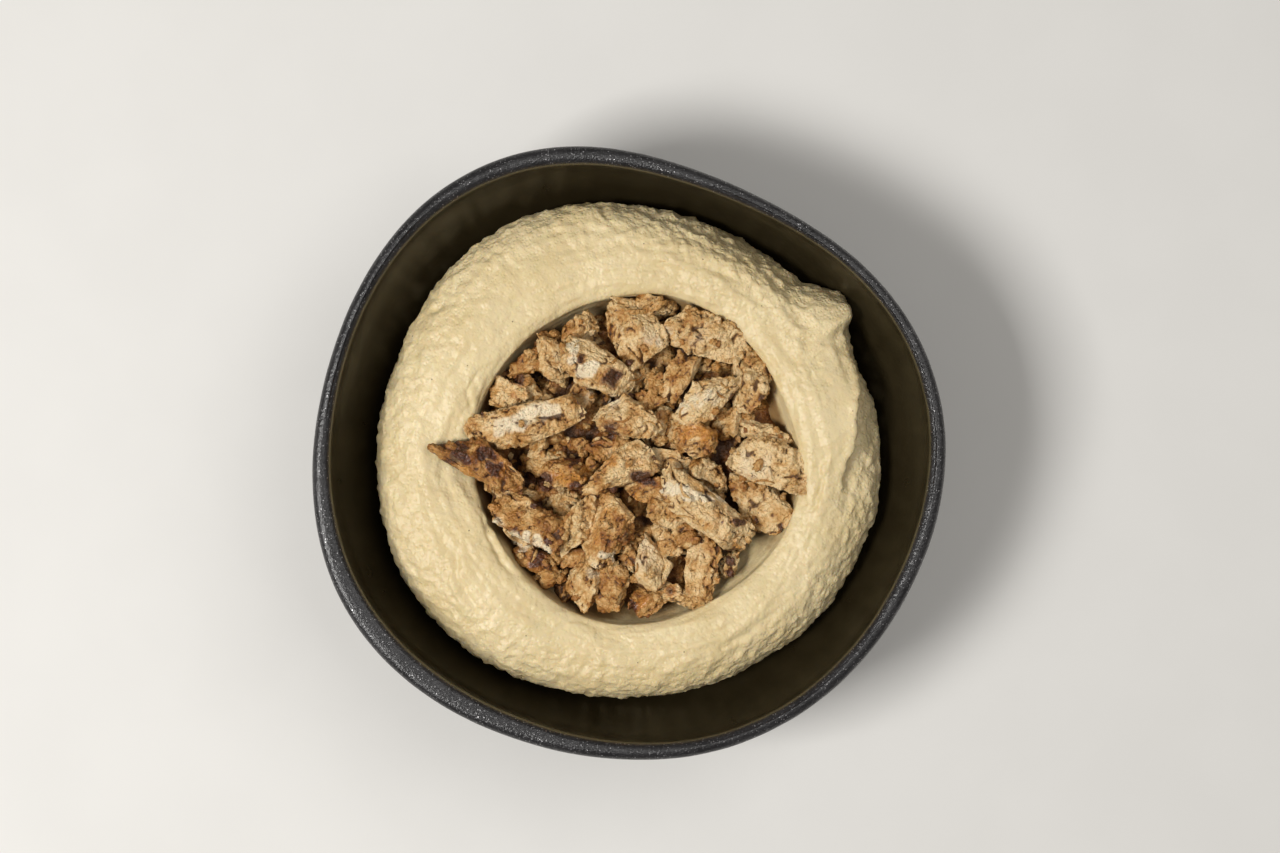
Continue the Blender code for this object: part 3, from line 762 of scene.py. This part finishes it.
def even_faces(points, faces, voxel):
    """A lump's points, normals and faces, in mm, once it is made again of even faces."""
    rough = bpy.data.meshes.new("rough")
    rough.from_pydata(np.asarray(points).tolist(), [], faces)
    shape = bmesh.new()
    shape.from_mesh(rough)
    bmesh.ops.remove_doubles(shape, verts=shape.verts, dist=0.001)
    shape.to_mesh(rough)
    shape.free()
    holder = bpy.data.objects.new("rough", rough)
    bpy.context.scene.collection.objects.link(holder)
    remesh = holder.modifiers.new("even", "REMESH")
    remesh.mode = "VOXEL"
    remesh.voxel_size = voxel
    made = holder.evaluated_get(bpy.context.evaluated_depsgraph_get()).to_mesh()
    count = len(made.vertices)
    place, normal = np.empty(count * 3), np.empty(count * 3)
    made.vertices.foreach_get("co", place)
    made.vertices.foreach_get("normal", normal)
    faces = [list(face.vertices) for face in made.polygons]
    bpy.data.objects.remove(holder)
    bpy.data.meshes.remove(rough)
    return place.reshape(-1, 3), normal.reshape(-1, 3), faces


def solid_of(node, growth, voxel):
    """A node's solid made again of even faces, grown about its middle."""
    source = frame["nodes"][node].data
    points = np.empty(len(source.vertices) * 3)
    source.vertices.foreach_get("co", points)
    points = points.reshape(-1, 3) / MM
    middle = (points.max(0) + points.min(0)) / 2
    faces = [list(face.vertices) for face in source.polygons]
    return even_faces(middle + (points - middle) * growth, faces, voxel)


def fibre_frame(points):
    """The middle of a lump and its own axes, its longest first."""
    middle = points.mean(axis=0)
    _, _, axes = np.linalg.svd(points - middle, full_matrices=False)
    return middle, axes


def spots_at(points, spots):
    """How strongly each point is covered by a list of spots, from 0 to 1."""
    covered = np.zeros(len(points))
    for x, y, reach, strength in spots:
        gap = np.hypot(points[:, 0] - x, points[:, 1] - y)
        covered = np.maximum(covered, strength * (1 - smooth_step(gap, reach * 0.4, reach * 1.4)))
    return covered


def knife_cuts(local, seed, count):
    """Flat cuts that give a lump the faces and corners of chopped meat, and where they are."""
    chance = random.Random(seed)
    cut_share = np.zeros(len(local))
    for _ in range(count):
        way = np.array([chance.gauss(0, 1) for _ in range(3)]) * (0.45, 1, 1)
        way /= np.linalg.norm(way)
        along = local @ way
        over = np.maximum(along - along.max() * chance.uniform(0.48, 0.82), 0)
        local = local - np.outer(over * 0.94, way)
        clean = 1.0 if chance.random() < 0.5 else 0.35
        cut_share = np.maximum(cut_share, clean * smooth_step(over, 0.05, 0.7))
    return local, cut_share


def torn_surface(points, normals, seed, kind, cuts=11):
    """Makes a plain lump into torn, chopped chicken: its points, and the layers of its looks."""
    brown_level, crumbly, fibrous = kind
    middle, axes = fibre_frame(points)
    local, cut_share = knife_cuts((points - middle) @ axes.T, seed, cuts)
    offset = np.array((seed * 7.3, seed * 3.1, seed * 5.7))
    warp = np.stack([noise_at(local, 0.26, offset + k * 31) for k in range(3)], axis=-1)
    bent = local + 1.5 * warp
    large = lumps_at(bent, 0.15, offset)
    medium = lumps_at(bent, 0.34, offset + 20)
    small = lumps_at(bent, 0.8, offset + 40)
    strands = noise_at(local * (0.1, 0.75, 0.75), 1.0, offset + 80)
    strands += 0.5 * noise_at(local * (0.22, 1.8, 1.8), 1.0, offset + 90)
    along_fibre = np.abs(noise_at(bent * (0.09, 0.26, 0.26), 1.0, offset + 70))
    crack = 1 - np.clip(along_fibre * 12, 0, 1)
    crack = crack * smooth_step(warp[:, 2], -0.2, 0.25)
    torn = np.clip(crumbly * (1.0 - 0.85 * cut_share) + 0.9 * warp[:, 0], 0, 1)
    lift = torn * (1.45 * large + 1.2 * medium + 0.65 * small - 1.2)
    lift += (1 - torn) * (0.6 * large - 0.2 + fibrous * 0.4 * strands + 0.22 * small)
    lift -= crack * (0.6 + 0.9 * torn)
    moved = middle + local @ axes + normals * lift[:, None]
    # Painted shade: torn valleys, cracks and downward-facing sides are darkened through the crevice
    # layer, which also browns them.
    valley = torn * (1 - smooth_step(medium * 0.65 + small * 0.35, 0.02, 0.42))
    under = smooth_step(-normals[:, 2], -0.2, 0.6)
    ragged = moved + 2.4 * warp
    panned = 0.16 * (1 - smooth_step(moved[:, 0] + 0.3 * moved[:, 1], -22, 16))
    browned = brown_level + 0.08 * torn + 0.38 * warp[:, 1] - 0.12 * cut_share + panned
    layers = {
        "fibre": (local + offset) * MM,
        "browned": np.clip(browned, 0, 1),
        **{name: spots_at(ragged, spots) for name, spots in SPOTS.items()},
        "crevice": np.clip(valley * 0.8 + crack * 0.9 + under * 0.6 - strands * 0.15, 0, 1),
    }
    return moved, layers


def build_chicken():
    """Every visible piece, and the crumbled heap that they lie on."""
    slots = {part["node"]: part["material_slot"] for part in frame["record"]["subparts"]}
    materials = {
        kind: roast("chicken_" + kind, 1.0 if kind == "charred" else 0.55) for kind in KINDS
    }
    made = []
    for seed, node in enumerate(sorted(name for name in slots if name.startswith("chicken_"))):
        if node == "chicken_bed":
            continue
        kind = slots[node].split("_")[1]
        points, normals, faces = solid_of(node, PIECE_GROWTH, VOXEL)
        moved, layers = torn_surface(points, normals, seed + 1, KINDS[kind])
        piece = add_mesh("torn_" + node, moved, faces, layers)
        made.append(dress(piece, materials[kind], slots[node], node))
    points, normals, faces = solid_of("chicken_bed", 1.0, HEAP_VOXEL)
    top = smooth_step(normals[:, 2], -0.2, 0.5)
    clods = lumps_at(points, 0.11, (3, 7, 1))
    crumbs = lumps_at(points, 0.32, (13, 2, 8))
    lift = (3.4 * clods - 0.6) * top + 1.3 * crumbs + 0.6 * lumps_at(points, 0.75, (1, 2, 3))
    layers = {
        "fibre": points * MM,
        "browned": 0.5 + 0.5 * noise_at(points, 0.15),
        "scorched": 0.0 * top,
        "amber": np.clip(0.8 * noise_at(points, 0.1, (4, 4, 4)), 0, 1),
        "milky": 0.0 * top,
        # Painted shade: the whole heap is darkened, never under 0.2, and most in the hollows between
        # its clods.
        "crevice": np.clip(1.1 - clods * 0.9 - crumbs * 0.4, 0.2, 1),
    }
    heap = add_mesh("chicken_under_heap", points + normals * lift[:, None], faces, layers)
    made.append(dress(heap, roast("chicken_under", 0.2), "chicken_bed", "chicken_bed"))
    return made, materials


# ---------------------------------------------------------------- crumbs and shreds


def surface_of(pieces):
    """A tree that finds where a drop from above lands on the pieces, in mm."""
    points, faces = [], []
    for piece in pieces:
        start = len(points)
        points += [vert.co / MM for vert in piece.data.vertices]
        faces += [[start + index for index in face.vertices] for face in piece.data.polygons]
    return BVHTree.FromPolygons(points, faces)


def dropped(tree, x, y):
    """The point and normal where something dropped at x, y lands, or None."""
    place, normal, _, _ = tree.ray_cast(Vector((x, y, 80)), Vector((0, 0, -1)))
    return (place, normal) if place else None


def joined(name, parts, material, slot):
    """One piece from many small (points, faces, layers) parts."""
    points, faces, layers = [], [], {}
    count = 0
    for part_points, part_faces, part_layers in parts:
        points.append(part_points)
        faces += [[count + index for index in face] for face in part_faces]
        for layer, value in part_layers.items():
            shape = (len(part_points), *np.shape(value)[1:])
            layers.setdefault(layer, []).append(np.broadcast_to(value, shape))
        count += len(part_points)
    layers = {layer: np.concatenate(values) for layer, values in layers.items()}
    return dress(add_mesh(name, np.vstack(points), faces, layers), material, slot)


def ball():
    """The points and faces of a ball of radius 1."""
    shape = bmesh.new()
    bmesh.ops.create_icosphere(shape, subdivisions=3, radius=1.0)
    points = np.array([vert.co for vert in shape.verts])
    faces = [[vert.index for vert in face.verts] for face in shape.faces]
    shape.free()
    return points, faces


def turn_of(chance, tilt):
    """A random turn about the vertical, after a tilt of up to that angle."""
    spin, lean = chance.uniform(0, math.tau), chance.uniform(-tilt, tilt)
    about_z = [[math.cos(spin), -math.sin(spin), 0], [math.sin(spin), math.cos(spin), 0], [0, 0, 1]]
    about_y = [[math.cos(lean), 0, math.sin(lean)], [0, 1, 0], [-math.sin(lean), 0, math.cos(lean)]]
    return np.array(about_z) @ np.array(about_y)


def bare_wall(x, y):
    """Whether that place is by a stretch of the crater's wall that the chicken leaves bare."""
    x, y = x - CRATER_CENTRE[0], y - CRATER_CENTRE[1]
    degrees, reach = math.degrees(math.atan2(y, x)), math.hypot(x, y)
    right, front_right, back = -2 < degrees < 36, -56 < degrees < -30, 98 < degrees < 112
    return (right and reach > 40) or (front_right and reach > 41) or (back and reach > 42)


def filling_bits(tree, material):
    """Small torn bits wedged between the big pieces and out to the crater's wall."""
    chance = random.Random(5)
    round_points, round_faces = ball()
    parts = []
    for row in range(-8, 9):
        for column in range(-8, 9):
            x = CRATER_CENTRE[0] + (column + row % 2 / 2) * BIT_SPACING + chance.uniform(-1.8, 1.8)
            y = CRATER_CENTRE[1] + row * BIT_SPACING * 0.87 + chance.uniform(-1.8, 1.8)
            size = chance.uniform(2.6, 4.6)
            stretch = np.array((size * chance.uniform(1.1, 1.9), size, size * chance.uniform(0.7, 1.0)))
            tilt = turn_of(chance, 0.6)
            reach = math.hypot(x - CRATER_CENTRE[0], y - CRATER_CENTRE[1])
            landed = dropped(tree, x, y)
            level = landed[0].z if landed else 33.0
            if reach > 47.5 or bare_wall(x, y) or level > 41.5:
                continue
            points, normals, faces = even_faces(round_points * stretch @ tilt.T, round_faces, BIT_VOXEL)
            seed = 200 + len(parts)
            kind = KINDS[chance.choice(("tan", "tan", "browned", "charred", "pale"))]
            moved, layers = torn_surface(points, normals, seed, kind, 6)
            highest = 41.0 - 2.5 * (reach / 47) ** 4 + chance.uniform(-1, 1.6)
            height = min(level + stretch[2] * 0.3, highest)
            moved = moved + (x, y, height)
            # Painted shade: bits lying deeper in the heap are painted darker.
            sunk_shade = 0.75 * (1 - smooth_step(moved[:, 2], 34, 42))
            layers["crevice"] = np.clip(layers["crevice"] + sunk_shade, 0, 1)
            layers.update({name: spots_at(moved, spots) for name, spots in SPOTS.items()})
            parts.append((moved, faces, layers))
    return joined("chicken_bits", parts, material, "chicken_tan")


def scattered_crumbs(tree, material):
    """Crumbs that fell off the pieces, most of them in the hollows."""
    chance = random.Random(11)
    round_points, round_faces = ball()
    parts = []
    while len(parts) < CRUMBS:
        turn, reach = chance.uniform(0, math.tau), 49 * math.sqrt(chance.random())
        x = CRATER_CENTRE[0] + reach * math.cos(turn)
        y = CRATER_CENTRE[1] + reach * math.sin(turn)
        here = dropped(tree, x, y)
        sides = ((4, 0), (-4, 0), (0, 4), (0, -4))
        around = [near for near in (dropped(tree, x + dx, y + dy) for dx, dy in sides) if near]
        if here is None or here[0].z < 30 or not around:
            continue
        level = sum(near[0].z for near in around) / len(around)
        if here[0].z > level - 0.6 and chance.random() < 0.85:
            continue
        size = chance.uniform(0.45, 1.15)
        stretch = size * np.array((chance.uniform(0.9, 1.7), 1, chance.uniform(0.6, 0.9)))
        seed = np.array([chance.uniform(0, 90) for _ in range(3)])
        rough = 0.75 + 0.6 * lumps_at(round_points, 1.1, seed) + 0.3 * lumps_at(round_points, 2.6, seed)
        points = (round_points * rough[:, None] * stretch) @ turn_of(chance, 0.5).T
        points = points + np.array(here[0]) + (0, 0, size * 0.25)
        layers = {
            "fibre": points * MM,
            "browned": min(1, max(0, chance.gauss(0.34, 0.16))),
            "scorched": 0.9 if chance.random() < 0.06 else 0.0,
            "amber": 0.5 if chance.random() < 0.15 else 0.0,
            "milky": 0.0,
            "crevice": 0.0,
        }
        parts.append((points, round_faces, layers))
    return joined("chicken_crumbs", parts, material, "chicken_tan")


def shred(tree, x, y, turn, length, width, bend, chance):
    """A torn strand that lies over what is under it: rings of a flat oval, tapering to its ends."""
    stations, sides = 20, 10
    seed = chance.uniform(0, 90)
    rings, high = [], None
    for k in range(stations):
        share = k / (stations - 1)
        heading = turn + bend * (share - 0.5)
        px = x + (share - 0.5) * length * math.cos(heading)
        py = y + (share - 0.5) * length * math.sin(heading)
        landed = dropped(tree, px, py)
        if landed is None:
            return None
        level = landed[0].z + 0.2
        high = level if high is None else 0.6 * high + 0.4 * level
        girth = width / 2 * (math.sin(math.pi * (0.05 + 0.9 * share)) ** 0.6)
        girth *= 1 + 0.5 * noise.noise(Vector((seed, share * length * 0.4, 0)))
        across = np.array((-math.sin(heading), math.cos(heading), 0.25))
        ring = []
        for s in range(sides):
            angle = math.tau * s / sides
            ragged = 1 + 0.5 * noise.noise(Vector((seed, share * length * 0.9, math.cos(angle) * 2)))
            offset = across * math.cos(angle) * girth * ragged
            offset = offset + np.array((0, 0, 1)) * math.sin(angle) * girth * 0.4
            ring.append(np.array((px, py, max(high, level))) + offset)
        rings.append(ring)
    points = np.array(rings).reshape(-1, 3)
    faces = []
    for k in range(stations - 1):
        near, far = k * sides, (k + 1) * sides
        for s in range(sides):
            beside = (s + 1) % sides
            faces.append([near + s, near + beside, far + beside, far + s])
    faces += [list(range(sides)), [(stations - 1) * sides + s for s in range(sides)]]
    return points, faces


def scattered_shreds(tree, material):
    """Torn strands: a few long ones at known places, and short ones anywhere on the heap."""
    chance = random.Random(23)
    placed = [
        (-25.5, 25.5, -50, 15, 3.4, 1.3, 0.12),
        (-16.0, -22.0, 78, 15, 2.8, 0.3, 0.08),
        (-19.5, -25.0, 84, 12, 2.4, -0.4, 0.2),
        (7.2, 19.5, 88, 12, 2.8, 0.3, 0.35),
        (-33.0, -27.5, -28, 14, 2.6, 0.4, 0.05),
        (-27.0, 1.8, 60, 8, 1.8, 0.5, 0.08),
        (5.0, 43.5, 15, 15, 2.2, 0.4, 0.3),
    ]
    parts = []
    for x, y, degrees, length, width, bend, browned in placed:
        made = shred(tree, x, y, math.radians(degrees), length, width, bend, chance)
        if made:
            parts.append((*made, strand_looks(made[0], browned)))
    while len(parts) < STRANDS:
        turn, reach = chance.uniform(0, math.tau), 44 * math.sqrt(chance.random())
        x = CRATER_CENTRE[0] + reach * math.cos(turn)
        y = CRATER_CENTRE[1] + reach * math.sin(turn)
        length, width = chance.uniform(3, 7), chance.uniform(0.5, 1.1)
        heading, bend = chance.uniform(0, math.pi), chance.uniform(-1, 1)
        made = shred(tree, x, y, heading, length, width, bend, chance)
        browned = max(0, chance.gauss(0.3, 0.12))
        if made and made[0][:, 2].min() > 32:
            parts.append((*made, strand_looks(made[0], browned)))
    return joined("chicken_shreds", parts, material, "chicken_pale")


def strand_looks(points, browned):
    """The layers of a strand's looks."""
    # A faint even painted shade on every strand.
    plain = {"scorched": 0.0, "amber": 0.0, "milky": 0.0, "crevice": 0.1}
    return {"fibre": points * MM, "browned": browned, **plain}


# ---------------------------------------------------------------- stage, light and camera


def build_stage():
    shape = bmesh.new()
    bmesh.ops.create_grid(shape, x_segments=1, y_segments=1, size=3)
    mesh = bpy.data.meshes.new("floor")
    shape.to_mesh(mesh)
    shape.free()
    floor = bpy.data.objects.new("floor", mesh)
    bpy.context.scene.collection.objects.link(floor)
    graph = Finish("pale_floor")
    stone = graph.grain(40, 3)
    pale = graph.mix(stone.ramp(0.3, 0.7), (0.735, 0.725, 0.705), (0.75, 0.74, 0.72))
    mesh.materials.append(graph.done(Base_Color=pale, Roughness=0.9))
    # Far off, the floor runs into a backdrop of one pale tone.
    far = graph.node("VectorMath", {"operation": "LENGTH"}, {0: graph.place}, "Value")
    seen = graph.node("LightPath", {}, {}, "Is Camera Ray")
    plain = graph.node("Emission", {}, {"Color": BACKDROP, "Strength": 1.0})
    surface = Value(graph, graph.shader.outputs[0])
    blended = graph.node("MixShader", {}, {0: far.ramp(0.3, 1.1) * seen, 1: surface, 2: plain})
    graph.feed(graph.tree.nodes["Material Output"].inputs["Surface"], blended)


def lamp(name, azimuth, elevation, distance, size, power):
    """A soft square lamp in that direction from the bowl, pointing at it."""
    light = bpy.data.lights.new(name, "AREA")
    light.shape, light.size, light.energy = "SQUARE", size, power
    light.color = (1, 0.985, 0.955)
    turn, up = math.radians(azimuth), math.radians(elevation)
    towards = Vector((math.cos(turn) * math.cos(up), math.sin(turn) * math.cos(up), math.sin(up)))
    holder = bpy.data.objects.new(name, light)
    holder.location = towards * distance + Vector((0, 0, 0.04))
    holder.rotation_mode = "QUATERNION"
    holder.rotation_quaternion = towards.to_track_quat("Z", "Y")
    bpy.context.scene.collection.objects.link(holder)


def build_light():
    lamp("key_lamp", 197, 56, 1.15, 0.34, 11.0)
    lamp("fill_lamp", 30, 60, 1.5, 1.0, 6.2)
    world = bpy.data.worlds.new("studio")
    world.use_nodes = True
    tree = world.node_tree
    around = tree.nodes["Background"]
    around.inputs["Color"].default_value = (1, 0.965, 0.91, 1)
    around.inputs["Strength"].default_value = 0.195
    backdrop = tree.nodes.new("ShaderNodeBackground")
    backdrop.inputs["Color"].default_value = (*BACKDROP, 1)
    seen, blend = tree.nodes.new("ShaderNodeLightPath"), tree.nodes.new("ShaderNodeMixShader")
    tree.links.new(seen.outputs["Is Camera Ray"], blend.inputs[0])
    tree.links.new(around.outputs[0], blend.inputs[1])
    tree.links.new(backdrop.outputs[0], blend.inputs[2])
    tree.links.new(blend.outputs[0], tree.nodes["World Output"].inputs["Surface"])
    bpy.context.scene.world = world
    bpy.context.scene.view_settings.view_transform = "Standard"


def build_camera():
    camera = bpy.data.cameras.new("camera")
    camera.lens, camera.sensor_width = 70, 36
    camera.clip_start, camera.clip_end = 0.01, 20
    holder = bpy.data.objects.new("camera", camera)
    holder.location = (0.0033, 0.008, 0.809)
    bpy.context.scene.collection.objects.link(holder)
    bpy.context.scene.camera = holder


build_camera()
build_light()
build_stage()
build_bowl()
build_hummus()
chicken, finishes = build_chicken()
chicken.append(filling_bits(surface_of(chicken), finishes["tan"]))
landing = surface_of(chicken)
scattered_crumbs(landing, finishes["tan"])
scattered_shreds(landing, finishes["pale"])
